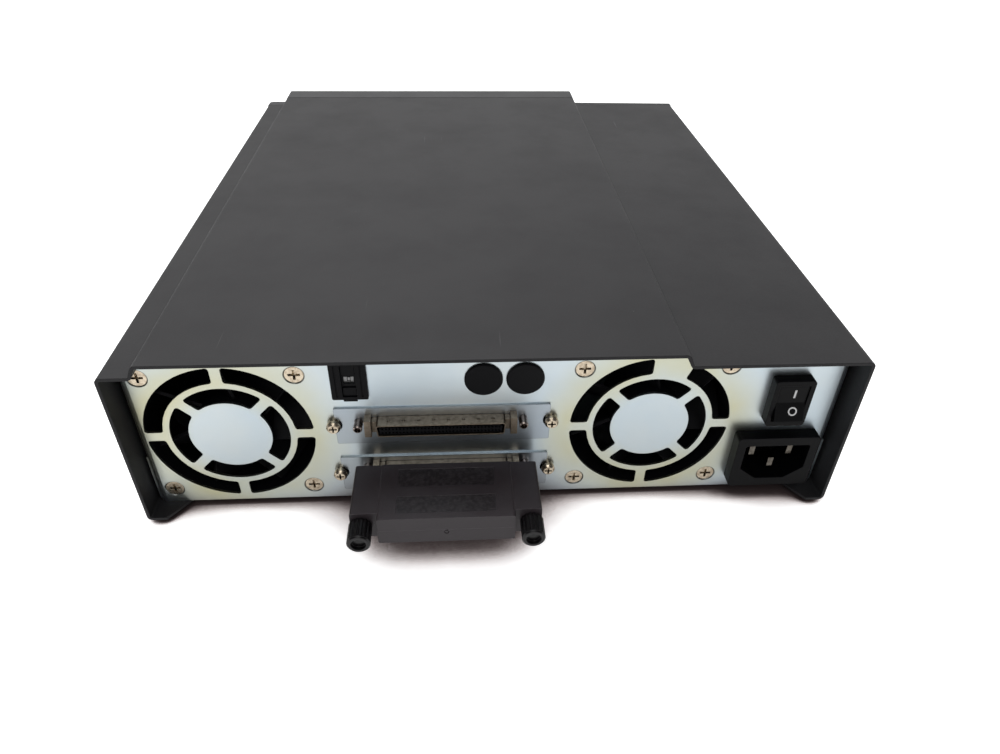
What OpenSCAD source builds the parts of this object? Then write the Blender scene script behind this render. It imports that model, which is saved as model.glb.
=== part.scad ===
// External half-height tape drive in a stepped sheet-metal case, seen mostly from behind.
// Origin: middle of the footprint, on the surface that the feet stand on. +Z is up and +Y points
// out of the rear panel. Places on the rear are given as u (to the right, seen from behind),
// z (up from the case's underside) and d (depth in from the cover's rear edge).

/* [Case] */
// Width of the cover
case_w = 248.8; // [248:0.1:256]
// Height of the cover's lower sections
case_h = 63.6; // [63.5:0.1:68]
// Height of the raised section above the lower ones
step_h = 4.4; // [3:0.1:6]
// Left edge of the raised section from the middle, seen from behind
raised_left = 112; // [108:0.5:114]
// Right edge of the raised section from the middle, seen from behind
raised_right = 62; // [58:0.5:66]
// Run of each sloping step
step_run = 2; // [1.8:0.1:3]
// Length of the cover
cover_len = 276; // [274:1:300]
// Thickness of the cover's sheet
cover_t = 1.1; // [0.9:0.05:1.2]
// Outer radius of the cover's bends
cover_bend_r = 1.8; // [1.5:0.1:2]
// Width of the cover's bottom flanges
flange_w = 13.5; // [13:0.1:15]
// Length of the diagonal cut at the end of each flange
flange_cut = 9; // [6:0.5:12]
// Height of the rubber feet
foot_h = 2; // [1.6:0.1:4]
// Radius of the rubber feet
foot_r = 5.4; // [4:0.1:6]

/* [Chassis tray] */
// Thickness of the tray's sheet
tray_t = 1; // [0.8:0.05:1.1]
// Depth of the rear panel behind the cover's edge
panel_recess = 8.25; // [6:0.25:10]
// Gap between the tray's side walls and the cover
tray_side_gap = 1; // [0.5:0.1:1.2]
// Outer radius of the tray's side bends
tray_bend_r = 2.8; // [2:0.1:3]
// Height of the tray's side walls
side_wall_h = 22; // [16:1:30]
// Height of the lip that carries the front bezel
front_lip_h = 11; // [10.5:0.5:12]

/* [Fans] */
// Width and height of a fan
fan_size = 60; // [59:0.1:60.1]
// Depth of a fan
fan_depth = 20; // [20:0.5:22]
// Distance between a fan's screws
fan_pitch = 50; // [49:0.5:50.5]
// Distance from the cover's side to the left fan's axis
left_fan_inset = 33.7; // [33.5:0.1:36]
// Right fan's axis from the middle
right_fan_u = 55.2; // [54:0.2:55.6]
// Radius of a fan's bore
fan_bore_r = 28.6; // [28:0.1:29]
// Radius of the grille's solid middle
grille_hub_r = 14; // [12:0.5:16]
// Width of the grille's rings of slots
grille_slot_w = 6.2; // [5:0.1:6.3]
// Width of the web between the two rings of slots
grille_web_w = 2.2; // [2:0.1:2.4]
// Width of the grille's spokes
grille_spoke_w = 3.6; // [3:0.1:5]

/* [Connectors] */
// Middle of the connector plates, from the case's middle
plate_u = -17.6; // [-18.5:0.1:-17]
// Width of a connector plate
plate_w = 74.1; // [73:0.1:75]
// Height of a connector plate
plate_h = 15.6; // [14.5:0.1:16]
// Thickness of a connector plate
plate_t = 0.7; // [0.6:0.1:1]
// Height of the lower plate's middle
lower_plate_z = 13.2; // [13:0.1:14.5]
// Distance between the two plates' middles
plate_pitch = 22.3; // [21.5:0.1:22.5]
// Width of a socket's shell
socket_w = 44.2; // [43.5:0.1:45]
// Height of a socket's shell
socket_h = 4.9; // [4.7:0.1:5.3]
// How far a socket's shell stands out from its plate
socket_out = 5.3; // [4.8:0.1:6]
// Distance between a socket's jack posts
jack_pitch = 56.6; // [56:0.1:57.2]
// How far a jack post stands out from its plate
jack_out = 4.3; // [4:0.1:4.7]

/* [Terminator] */
// Width of the terminator
term_w = 63.4; // [63:0.1:65]
// Height of the terminator
term_h = 11.1; // [10.8:0.1:12]
// Length of the terminator's shoulders
term_shoulder_len = 22.6; // [20:0.1:26]
// Width of the terminator's middle block
term_nose_w = 45.4; // [44.5:0.1:47]
// How far the middle block stands out from the shoulders
term_nose_len = 3.1; // [2:0.1:5]
// Radius of a thumbscrew's knob
knob_r = 3.9; // [3:0.1:4]
// Length of a thumbscrew's knob
knob_len = 8.1; // [5:0.1:10]

/* [Switches and inlet] */
// Middle of the identity switch, from the case's middle
id_u = -48.2; // [-48.6:0.1:-47.8]
// Height of the identity switch's middle
id_z = 54.9; // [54.6:0.1:55.2]
// Distance of the power switch's axis from the cover's side
switch_inset = 22; // [21:0.1:22.4]
// Height of the power switch's middle
switch_z = 43.4; // [43:0.1:46]
// Distance of the mains inlet's axis from the cover's side
inlet_inset = 22; // [21:0.1:22.4]
// Height of the mains inlet's middle
inlet_z = 17; // [17:0.1:18]
// Width of the mains inlet's face
inlet_w = 30; // [29:0.1:31]
// Height of the mains inlet's face
inlet_h = 23.1; // [22.5:0.1:23.4]
// Radius of the two hole plugs
plug_r = 6.45; // [6.2:0.05:6.6]
// Height of the hole plugs
plug_z = 54.2; // [53.8:0.1:55]

/* [Front bezel] */
// How far the middle of the bezel stands out from the cover
nose_out = 14; // [13:0.1:18]
// How far the bezel's left part stands out
left_out = 7; // [6.5:0.1:9]
// How far the bezel's right part stands out beside the middle
right_out = 5; // [4.6:0.1:6]
// How far the bezel's right part stands out at its outer end
right_end_out = 3; // [3:0.1:4]
// Gap between the cover and the bezel
bezel_gap = 0.5; // [0.3:0.1:1]
// Thickness of the bezel's walls
bezel_wall = 2.2; // [1.8:0.1:2.6]

/* [Tape drive] */
// Width of the drive
drive_w = 146; // [145:0.5:147]
// Height of the drive
drive_h = 41.3; // [41:0.1:42]
// Length of the drive behind its fascia
drive_len = 200; // [197:1:204]
// Height of the drive's underside
drive_z = 12; // [11.8:0.1:13]
// Width of the cartridge slot
slot_w = 108; // [106:0.5:110]
// Height of the cartridge slot
slot_h = 26; // [24:0.5:27]

/* [Power supply] */
// Width of the supply's board
supply_w = 42; // [40:0.5:42]
// Length of the supply's board
supply_len = 140; // [130:1:150]
// Height of the board's standoffs
standoff_h = 6; // [4:0.5:10]

/* [Hidden] */
$fn = 48;

// Overrun of every cut past the face that it opens
over = 0.5;
// Overlap of solids that grow out of one another
sink = 0.1;
// Radial clearance of a running shaft
run_gap = 0.06;
// Clearance of a piece that slides or drops into another
slip_gap = 0.15;
// Steps in each rounded corner
corner_steps = 4;

// Case
wall_in = case_w / 2 - cover_t;
tray_half = wall_in - tray_side_gap;
top_gap = 0.25;
tray_top = case_h - cover_t - top_gap;
margin_top = cover_t + tray_t;
joggle_gap = 2.4;
joggle_half = case_w / 2 - flange_w - joggle_gap;
floor_front = cover_len + bezel_gap;
case_len = cover_len + nose_out;
cover_screw_r = 1.5;
cover_screw_head_r = cover_screw_r + cover_t;
cover_screw_len = 5;
cover_screw_depths = [40, cover_len / 2, cover_len - 40];
flange_mid = case_w / 2 - flange_w / 2;
foot_inset = 17;
foot_taper_share = 0.92;

// Rear panel
panel_in = panel_recess + tray_t;
wing_len = 14;
fan_gap = 0.2;
fan_z = margin_top + fan_gap + fan_size / 2;
left_fan_u = left_fan_inset - case_w / 2;
grille_r0 = grille_hub_r;
grille_r1 = grille_r0 + grille_slot_w;
grille_r2 = grille_r1 + grille_web_w;
grille_r3 = grille_r2 + grille_slot_w;
grille_corner_r = 1;
wide_spoke_angle = 21.5;
fan_screw_head_r = 3.2;
fan_screw_hole_r = 3.5;
fan_screw_r = fan_screw_hole_r - tray_t;
fan_screw_len = 9;

// Fan
fan_corner_r = 4;
fan_edge_chamfer = 2.2;
strut_w = 4;
strut_t = 3;
strut_sink = 1;
stator_r = 9.5;
stator_h = 11;
fan_pin_r = 1.5;
hub_r = 13;
hub_wall = 1.3;
hub_top_gap = 1.5;
sleeve_r = 3;
blades = 7;
blade_t = 1.1;
blade_chord = 17;
blade_pitch = 42;
blade_tip_gap = 0.9;

// Connectors
plate_zs = [lower_plate_z, lower_plate_z + plate_pitch];
// The lower and the upper socket's places, from the middles of their plates
socket_shift = [0.6, -0.7];
socket_rise = [3.3, 1.8];
plate_screw_rise = 0.75;
plate_screw_pitch = plate_w + 0.9;
plate_notch_r = 2.9;
plate_corner_r = 0.6;
plate_screw_r = 1.5;
plate_screw_head_r = 2.4;
plate_screw_head_h = 2;
plate_screw_len = 5;
plate_screw_collar_r = 2;
plate_screw_collar_h = 1.2;
notch_slot_w = 2.4;
notch_slot_h = 5;
notch_slot_in = 3.1;
socket_wall = 0.4;
socket_flange_t = 0.8;
socket_housing_w = jack_pitch + 6.4;
socket_housing_h = 10;
socket_housing_len = 10;
socket_hole_gap = 1;
shell_corner_r = 0.8;
shell_inner_r = 0.5;
tongue_w = socket_w - 2.3;
tongue_h = socket_h - 2.3;
tongue_set_back = 0.2;
ear_reach = 3.9;
ear_w = 2.3;
ear_h = 6.8;
ear_out = 4.1;
ear_link_h = 4.4;
ear_link_w = ear_reach - ear_w + socket_wall / 2 + sink;
ear_link_out = 2.8;
contact_pitch = 1.2;
contact_row = 0.8;
contacts_per_row = 34;
contact_hole = 0.7;
contact_depth = 4;
dimple_r = 0.8;
dimple_rise = 0.25;
dimple_pitch = 5.08;
dimples = 8;
jack_r = 1.55;
jack_bore_r = 1.1;
jack_shank_r = 1.3;
jack_shank_len = 6;
jack_chamfer = 0.4;
jack_floor = 0.5;

// Identity switch
id_w = 12.1;
id_h = 15;
id_rim_t = 1;
id_corner_r = 0.6;
id_groove_w = 0.6;
id_groove_depth = 0.35;
id_button_corner_r = 0.4;
id_body_w = 11.3;
id_body_h = 14;
id_body_len = 12;
id_channel_w = 4.8;
id_channel_h = 12.8;
id_wheel_r = 3.2;
id_axle_r = 0.8;
id_axle_len = 1;
id_web_h = 5.2;
id_web_t = 0.5;
id_wheel_gap = 0.2;
id_wheel_z = -id_web_t - id_wheel_gap - id_wheel_r;
id_window_w = 3.4;
id_window_h = 2.8;
id_button_h = 3.3;
id_button_out = 0.5;
id_button_len = 1.7;
id_tab_w = 4.6;
id_tab_h = 0.7;

// Hole plugs
plug_pitch = 14;
plug_u = 3.3;
plug_head_t = 0.9;
plug_rim_share = 0.6;
plug_chamfer = 0.5;
plug_shank_r = plug_r - 0.75;
plug_len = 4;
plug_wall = 1;

// Power switch
switch_w = 14;
switch_h = 19.5;
switch_rim_t = 4;
switch_chamfer = 1.2;
switch_body_w = 12.4;
switch_body_h = 17.8;
switch_body_len = 14;
rocker_w = 10.3;
rocker_half = 7;
rocker_pocket_half = 7.7;
rocker_pocket_depth = 3;
rocker_face_z = 3.5;
rocker_lift = 2;
rocker_pivot_z = rocker_face_z - rocker_lift;
rocker_rise = 1.4;
rocker_under = 4;
rocker_tilt = 10;
rocker_pin_r = 1;
rocker_pin_len = 0.8;
terminal_w = 4.8;
terminal_t = 0.8;
terminal_len = 7;
terminal_offset = 5;
switch_u = case_w / 2 - switch_inset;

// Mains inlet
inlet_u = case_w / 2 - inlet_inset;
inlet_out = 5;
inlet_chamfer = 1.4;
inlet_body_w = inlet_w - 3;
inlet_body_h = inlet_h - 3.4;
inlet_body_len = 13;
inlet_cavity_w = 23.7;
inlet_cavity_h = 15.9;
inlet_cut_w = 6.5;
inlet_cut_h = 5;
inlet_floor_t = 3;
inlet_cavity_r = 0.8;
inlet_pin_pitch = 14;
inlet_pin_rise = 2;
inlet_pin_w = 2;
inlet_pin_h = 4;
inlet_pin_tip_z = 0.6;
inlet_earth_lead = 2;
inlet_lug_len = 6;

// Terminator, with z counted out from the rear panel's face
term_u = plate_u + socket_shift[0];
term_z = lower_plate_z + socket_rise[0];
term_back = plate_t + socket_out;
term_wall = 1.7;
term_step = 0.3;
term_corner_r = 0.8;
term_front = term_back + term_shoulder_len;
term_nose = term_front + term_nose_len;
plug_shell_w = socket_w - 2 * socket_wall - 2 * slip_gap;
plug_shell_h = socket_h - 2 * socket_wall - 2 * slip_gap;
plug_shell_wall = 0.4;
plug_reach = 4.6;
plug_flange_w = 48;
plug_flange_t = 0.8;
pin_block_w = plug_shell_w - 2 * plug_shell_wall;
pin_block_h = plug_shell_h - 2 * plug_shell_wall;
pin_block_len = 8;
pin_block_corner_r = 0.4;
pin_t = 0.4;
pin_reach = 3;
term_board_w = 38;
term_board_len = 14;
term_board_t = 1.6;
term_rib_w = 1.6;
term_rib_share = 0.8;
resistor_w = 8;
resistor_len = 6;
resistor_h = 2;
resistor_gap = 1;
resistor_set_back = 3;
thumb_r = 1.5;
thumb_tip_r = jack_bore_r - run_gap;
thumb_tip_reach = 3;
thumb_collar_r = 2.5;
thumb_collar_t = 1.2;
thumb_collar_depth = 6;
thumb_root = 1;
thumb_shoulder = 0.6;
knob_chamfer = 0.5;
knob_groove_end = 0.7;
knob_gap = 0.3;
knob_grooves = 16;
knob_groove_r = 0.45;
knob_recess_r = 2.5;
knob_recess = 1.4;
knob_end_z = term_front + knob_gap + knob_len;
pip_r = 0.95;
pip_t = 0.3;
pip_rise = -1;
patch_depth = 0.15;
patch_w_share = 0.727;
patch_shares = [[0.1, 0.33], [0.605, 0.29]];

// Front bezel
nose_run = 2;
nose_corner_r = 3;
bezel_corner_r = 1;
pilot_gap = 1;
bezel_screw_z = 6.5;
bezel_boss_r = 2.9;
bezel_screw_us = [-80, -25, 30];
vent_slots = 7;
vent_w = 2.4;
vent_h = 26;
vent_pitch = 6;
vent_z = 12;
vent_u = raised_right + 12;
light_r = 1.6;
light_len = right_out * 0.9;
light_z = 50;
light_u = raised_right + 30;

// Screws inside the case
screw_r = 1.5;
screw_head_r = 2.6;
screw_head_h = 1.9;
screw_len = 2.4;
screw_hole_r = screw_r + run_gap;

// Tape drive
drive_u = (raised_right - raised_left) / 2;
drive_u0 = drive_u - drive_w / 2;
drive_wall = 3;
drive_base = 3;
drive_hole_floor = 0.5;
lid_t = 1;
fascia_w = 148;
fascia_t = 6;
fascia_corner_r = 0.8;
fascia_front = case_len;
fascia_back = fascia_front - fascia_t;
drive_back = fascia_back - drive_len;
drive_floor = drive_z + drive_base;
drive_top = drive_z + drive_h;
slot_z = drive_z + 8;
slot_u = drive_u - 4;
door_t = 2;
door_pin_r = 1;
door_pin_len = 1.4;
door_pin_drop = 1.6;
door_gap = 0.3;
door_set_back = fascia_t - door_t / 2 - 0.2;
button_w = 9;
button_h = 5;
button_out = 0.8;
button_travel = 1.2;
button_flange = 1;
button_flange_t = 1;
button_corner_r = 0.7;
button_u = slot_u + slot_w / 2 + 8;
button_z = drive_z + 30;
lamp_r = 1.2;
lamp_rise = 0.3;
lamp_gap = 6;
// Overall length, from the eject button's face to the thumbscrews' ends
overall_len = case_len + button_out + knob_end_z - panel_recess;
rear_y = overall_len / 2 - (knob_end_z - panel_recess);
lamp_pitch = 5;
lamp_z = drive_z + 16;
hub_depth = 60;
reel_depth = drive_len - 43;
supply_hub_r = 20;
supply_hub_t = 4;
hub_teeth = 16;
hub_tooth_r = 1.1;
hub_tooth_ring_r = 14;
hub_tooth_rise = 1.5;
hub_pin_r = 3;
reel_r = 35;
reel_core_r = 20;
reel_flange_t = 1.2;
reel_h = 16;
reel_pin_r = 4;
spin_gap = 0.2;
head_w = 18;
head_len = 10;
head_h = 14;
head_pitch = 11;
head_pin_r = 1.5;
head_pin_h = 24;
head_rise = 2;
head_gap = 2;
head_depth = reel_depth - reel_r - head_gap - head_len / 2;
head_face_out = 1.5;
head_face_inset = 2;
carrier_w = slot_w + 1;
carrier_t = 1;
carrier_len = 84;
carrier_lip = 6;
carrier_h = 26;
carrier_drop = 3;
carrier_depth = 26;
rail_w = 4;
rail_h = 24;
rail_gap = 0.2;
drive_post_r = 3;
drive_post_inset = 7;
drive_board_len = 72;
drive_board_t = 1.6;
drive_board_gap = 1;
drive_board_z = drive_top - lid_t - 8;
chip_w = 18;
chip_t = 1.6;
chip_shares = [0.2, 0.45, 0.7];
chip_d_share = 0.4;
header_w = 50;
header_h = 7;
header_len = 7;
bracket_t = 1.5;
bracket_foot = 8;
bracket_set_back = 12;
bracket_h = 36;
bracket_hole_z = 10;
bracket_hole_shares = [0.15, 0.85];

// Power supply
supply_u = raised_right + 2;
supply_d = panel_in + fan_depth + 14;
supply_inset = 4;
board_t = 1.6;
standoff_r = 3;
transformer_w = 28;
transformer_len = 32;
transformer_h = 22;
transformer_d_share = 0.28;
coil_inset = 3;
capacitor_r = 8;
capacitor_h = 26;
capacitor_shares = [0.26, 0.74];
capacitor_d_share = 0.2;
heatsink_len = 60;
heatsink_h = 30;
heatsink_w = 14;
heatsink_base = 2;
heatsink_fins = 5;
fin_t = 1.2;

// Colours
black_paint = [0.16, 0.155, 0.165];
zinc = [0.80, 0.84, 0.86];
nickel = [0.82, 0.78, 0.70];
black_plastic = [0.08, 0.08, 0.085];
charcoal = [0.19, 0.19, 0.2];
rubber = [0.05, 0.05, 0.05];
green_board = [0.10, 0.32, 0.18];
cast_alloy = [0.62, 0.63, 0.65];
pale_grey = [0.72, 0.72, 0.72];

// Unit vector from one point to another
function heading(from, to) = (to - from) / norm(to - from);
function left_of(v) = [-v[1], v[0]];
function shortest(a) = a > 180 ? a - 360 : (a < -180 ? a + 360 : a);
function arc(c, r, a0, a1, steps) =
    [for (i = [0:steps]) c + r * [cos(a0 + (a1 - a0) * i / steps), sin(a0 + (a1 - a0) * i / steps)]];

// Arc that rounds the corner at q, between p and n
function corner(p, q, n, r) =
    let (a = heading(q, p), b = heading(q, n), half = acos(a * b) / 2)
    let (c = q + heading([0, 0], a + b) * r / sin(half))
    let (s = q + a * r / tan(half) - c, e = q + b * r / tan(half) - c)
    let (a0 = atan2(s[1], s[0]), a1 = atan2(e[1], e[0]))
    arc(c, r, a0, a0 + shortest(a1 - a0), corner_steps);
function rounded(pts, r) =
    let (k = len(pts))
    [for (i = [0:k - 1]) each corner(pts[(i + k - 1) % k], pts[i], pts[(i + 1) % k], r)];
function rect(w, h) = [[-w, -h] / 2, [w, -h] / 2, [w, h] / 2, [-w, h] / 2];

// Bent sheet: path is its outer face, with the sheet's thickness t to the left of it
function shifted(path, i, o) =
    let (k = len(path) - 1)
    let (n0 = left_of(heading(path[max(i - 1, 0)], path[max(i, 1)])))
    let (n1 = left_of(heading(path[min(i, k - 1)], path[min(i + 1, k)])))
    path[i] + (n0 + n1) * o / (1 + n0 * n1);
function bend_radius(path, i, o, r, t) =
    cross(path[i] - path[i - 1], path[i + 1] - path[i]) > 0 ? r - o : r - t + o;
function sheet_face(path, o, r, t) =
    let (q = [for (i = [0:len(path) - 1]) shifted(path, i, o)], k = len(path) - 1)
    [q[0], for (i = [1:k - 1]) each corner(q[i - 1], q[i], q[i + 1], bend_radius(path, i, o, r, t)), q[k]];
function bent_sheet(path, r, t) =
    let (inner = sheet_face(path, t, r, t))
    concat(sheet_face(path, 0, r, t), [for (i = [len(inner) - 1:-1:0]) inner[i]]);

// Slot of a round grille between the spokes at angles s0 and s1
function grille_slot(r0, r1, s0, s1) =
    let (h = grille_spoke_w / 2 + grille_corner_r, c = grille_corner_r)
    let (a_out = asin(h / (r1 - c)), a_in = asin(h / (r0 + c)))
    concat(arc([0, 0], r1, s0 + a_out, s1 - a_out, 14),
        arc((r1 - c) * [cos(s1 - a_out), sin(s1 - a_out)], c, s1 - a_out, s1 + 90, corner_steps),
        arc((r0 + c) * [cos(s1 - a_in), sin(s1 - a_in)], c, s1 + 90, s1 - a_in + 180, corner_steps),
        arc([0, 0], r0, s1 - a_in, s0 + a_in, 10),
        arc((r0 + c) * [cos(s0 + a_in), sin(s0 + a_in)], c, s0 + a_in + 180, s0 + 270, corner_steps),
        arc((r1 - c) * [cos(s0 + a_out), sin(s0 + a_out)], c, s0 + 270, s0 + a_out + 360, corner_steps));

// Shape of a D socket, narrower at the bottom
d_lean_share = 0.13;
function d_shape(w, h, r) =
    let (b = w / 2 - d_lean_share * h)
    rounded([[-b, -h / 2], [b, -h / 2], [w / 2, h / 2], [-w / 2, h / 2]], r);

// Places
module rear(u, z, d) {
    translate([-u, rear_y - d, foot_h + z]) rotate([90, 0, 180]) children();
}
module on_panel(u, z) {
    rear(u, z, panel_recess) children();
}
module along(d0, d1) {
    rear(0, 0, d1) linear_extrude(d1 - d0) children();
}
module plan(z0, z1) {
    translate([0, rear_y, foot_h + z0]) rotate(180) linear_extrude(z1 - z0) children();
}
module at(u, d, z) {
    translate([-u, rear_y - d, foot_h + z]) children();
}
module block(u, d, z, w, l, h) {
    at(u + w, d + l, z) cube([w, l, h]);
}
module cut_round(r, z0, z1) {
    translate([0, 0, z0 - over]) cylinder(r = r, h = z1 - z0 + 2 * over);
}
module slab(pts, z0, z1) {
    translate([0, 0, z0]) linear_extrude(z1 - z0) polygon(pts);
}

// Fasteners
module cross_recess(r, depth) {
    arm = r * 0.26;
    for (a = [0, 90]) rotate(a) translate([-r * 0.62, -arm / 2, -depth]) cube([r * 1.24, arm, depth + over]);
}
module flat_screw(head_r, shank_r, length) {
    difference() {
        union() {
            translate([0, 0, shank_r - head_r]) cylinder(r1 = shank_r, r2 = head_r, h = head_r - shank_r);
            translate([0, 0, -length]) cylinder(r = shank_r, h = length - head_r + shank_r + over / 10);
        }
        cross_recess(head_r, shank_r * 0.55);
    }
}
module pan_screw(head_r, head_h, shank_r, length) {
    difference() {
        union() {
            cylinder(r = head_r, h = head_h * 0.6);
            translate([0, 0, head_h * 0.6]) cylinder(r1 = head_r, r2 = head_r * 0.72, h = head_h * 0.4);
            translate([0, 0, -length]) cylinder(r = shank_r, h = length + head_h / 2);
        }
        translate([0, 0, head_h]) cross_recess(head_r * 0.9, head_h * 0.6);
    }
}
module inner_screw() {
    pan_screw(screw_head_r, screw_head_h, screw_r, screw_len);
}

// Outlines of the case, seen from behind
function case_outline(s) =
    let (w = case_w / 2 - s, top = case_h - s, l = raised_left - s / 2, r = raised_right - s / 2)
    [[-w, s], [w, s], [w, top], [r + step_run, top], [r, top + step_h],
        [-l, top + step_h], [-l - step_run, top], [-w, top]];
cover_path = [[case_w / 2 - flange_w, 0], [case_w / 2, 0], [case_w / 2, case_h],
    [raised_right + step_run, case_h], [raised_right, case_h + step_h],
    [-raised_left, case_h + step_h], [-raised_left - step_run, case_h],
    [-case_w / 2, case_h], [-case_w / 2, 0], [flange_w - case_w / 2, 0]];
tray_path = [[-tray_half, side_wall_h], [-tray_half, cover_t], [-joggle_half - cover_t, cover_t],
    [-joggle_half, 0], [joggle_half, 0], [joggle_half + cover_t, cover_t],
    [tray_half, cover_t], [tray_half, side_wall_h]];
wing_path = [[-tray_half, panel_recess + wing_len], [-tray_half, panel_recess],
    [tray_half, panel_recess], [tray_half, panel_recess + wing_len]];

module top_cover() {
    color(black_paint) difference() {
        along(0, cover_len) polygon(bent_sheet(cover_path, cover_bend_r, cover_t));
        for (s = [-1, 1], end = [0, 1]) plan(-over, cover_t + over) mirror([s < 0 ? 1 : 0, 0])
            translate([case_w / 2 - flange_w, end * cover_len]) mirror([0, end]) flange_corner();
        cover_screw_places() cover_screw_hole(0, cover_t);
    }
}
// Corner cut from the end of a flange, in u and d
module flange_corner() {
    polygon([[-over, -over], [flange_w / 2, -over], [flange_w / 2, 0], [0, flange_cut], [-over, flange_cut]]);
}
module cover_screw_places() {
    for (s = [-1, 1], d = cover_screw_depths) at(s * flange_mid, d, 0) mirror([0, 0, 1]) children();
}
// Countersunk hole through sheets from z0 to z1, measured up from the case's underside
module cover_screw_hole(z0, z1) {
    cone_h = cover_screw_head_r - cover_screw_r;
    mirror([0, 0, 1]) {
        cut_round(cover_screw_r + run_gap, z0, z1);
        translate([0, 0, -over]) cylinder(r1 = cover_screw_head_r + over, r2 = cover_screw_r, h = cone_h + over);
    }
}
module cover_screws() {
    color(nickel) cover_screw_places() flat_screw(cover_screw_head_r, cover_screw_r, cover_screw_len);
}

module chassis_tray() {
    color(zinc) difference() {
        union() {
            along(panel_in, floor_front) polygon(bent_sheet(tray_path, cover_bend_r, tray_t));
            plan(cover_t, tray_top) polygon(bent_sheet(wing_path, tray_bend_r, tray_t));
            block(-raised_left, panel_recess, cover_t, raised_left + raised_right, tray_t, tray_top + step_h - cover_t);
            block(-joggle_half, panel_recess + tray_t, 0, 2 * joggle_half, tray_t, tray_t);
            panel_foot();
            block(-joggle_half, floor_front - tray_t, 0, 2 * joggle_half, tray_t, front_lip_h);
        }
        rear_panel_cuts();
        cover_screw_places() mirror([0, 0, 1]) cut_round(screw_hole_r, cover_t, margin_top);
        bezel_screw_places() cut_round(screw_hole_r, -tray_t, 0);
        bracket_floor_places() cut_round(screw_hole_r, -bracket_t - tray_t, -bracket_t);
    }
}
// Bend at the foot of the rear panel, between the two joggles
module panel_foot() {
    bend = 2 * tray_t;
    at(-joggle_half, panel_recess + bend, bend) rotate([0, -90, 0]) intersection() {
        difference() {
            cylinder(r = bend, h = 2 * joggle_half);
            cut_round(tray_t, 0, 2 * joggle_half);
        }
        translate([-bend - over, 0, 0]) cube([bend + over, bend + over, 2 * joggle_half]);
    }
    block(-joggle_half, panel_recess, bend, 2 * joggle_half, tray_t, bend);
}
module fan_places() {
    for (u = [left_fan_u, right_fan_u]) on_panel(u, fan_z) children();
}
module fan_screw_places() {
    fan_places() for (x = [-1, 1], y = [-1, 1]) translate([x, y] * fan_pitch / 2) children();
}
module grille_cuts(top_edge) {
    for (a = [45, 135, 225, 315]) slab(grille_slot(grille_r0, grille_r1, a, a + 90), -tray_t - over, over);
    slab(grille_slot(grille_r2, grille_r3, 0, 90 - top_edge), -tray_t - over, over);
    for (a = [90, 180, 270]) slab(grille_slot(grille_r2, grille_r3, a, a + 90), -tray_t - over, over);
}
module rear_panel_cuts() {
    on_panel(left_fan_u, fan_z) grille_cuts(0);
    on_panel(right_fan_u, fan_z) grille_cuts(wide_spoke_angle);
    fan_screw_places() {
        cut_round(fan_screw_r + run_gap, -tray_t, 0);
        translate([0, 0, -tray_t])
            cylinder(r1 = fan_screw_hole_r - tray_t, r2 = fan_screw_hole_r + over, h = tray_t + over);
    }
    for (i = [0, 1]) on_panel(plate_u, plate_zs[i]) {
        translate([socket_shift[i], socket_rise[i]])
            slab(rect(socket_w + socket_hole_gap, socket_h + socket_hole_gap), -tray_t - over, over);
        jack_places(i) cut_round(jack_shank_r + run_gap, -tray_t, 0);
        plate_screw_pair() cut_round(plate_screw_r + run_gap, -tray_t, 0);
        for (s = [-1, 1]) translate([s * (plate_screw_pitch / 2 - notch_slot_in), plate_screw_rise])
            slab(rect(notch_slot_w, notch_slot_h), -tray_t - over, over);
    }
    on_panel(id_u, id_z) slab(rect(id_body_w + slip_gap, id_body_h + slip_gap), -tray_t - over, over);
    for (i = [0, 1]) on_panel(plug_u + (i - 0.5) * plug_pitch, plug_z) cut_round(plug_shank_r + slip_gap, -tray_t, 0);
    on_panel(switch_u, switch_z) slab(rect(switch_body_w, switch_body_h), -tray_t - over, over);
    on_panel(inlet_u, inlet_z) slab(rect(inlet_body_w, inlet_body_h), -tray_t - over, over);
}

module front_bezel() {
    back = floor_front;
    color(charcoal) difference() {
        intersection() {
            along(back, case_len) polygon(rounded(case_outline(0), bezel_corner_r));
            plan(-over, case_h + step_h + over) polygon(bezel_plan());
        }
        difference() {
            bezel_hollows(back);
            bezel_bosses(back);
        }
        rear(drive_u, drive_z + drive_h / 2, case_len + over)
            slab(rect(fascia_w + 2 * slip_gap, drive_h + 2 * slip_gap), 0, case_len - back + 2 * over);
        for (i = [0:vent_slots - 1]) block(vent_u + i * vent_pitch, back - over, vent_z, vent_w, nose_out, vent_h);
        rear(light_u, light_z, case_len) cut_round(light_r, 0, nose_out);
        bezel_screw_places() cut_round(screw_r, -screw_len - pilot_gap, 0);
    }
}
// Bezel seen from above, in u and d
function bezel_plan() =
    let (w = case_w / 2, c = cover_len)
    concat([[-w, floor_front], [w, floor_front]],
        [[w, c + right_end_out], [raised_right + nose_run, c + right_out]],
        [[raised_right, c + nose_out], [-raised_left, c + nose_out]],
        [[-raised_left - nose_run, c + left_out]],
        corner([-raised_left - nose_run, c + left_out], [-w, c + left_out], [-w, c], nose_corner_r));
module bezel_hollows(back) {
    top = case_h + step_h - bezel_wall;
    block(bezel_wall - raised_left, back - over, bezel_wall, raised_left + raised_right - 2 * bezel_wall,
        cover_len + nose_out - bezel_wall - back + over, top - bezel_wall);
    block(bezel_wall - case_w / 2, back - over, bezel_wall, case_w / 2 - raised_left,
        cover_len + left_out - bezel_wall - back + over, case_h - 2 * bezel_wall);
}
module bezel_bosses(back) {
    bezel_screw_places() translate([0, 0, back - case_len]) cylinder(r = bezel_boss_r, h = case_len - back);
}
// Bezel screws: z points towards the rear, with 0 at the lip's rear face
module bezel_screw_places() {
    for (u = bezel_screw_us) rear(u, bezel_screw_z, floor_front - tray_t) children();
}

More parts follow.
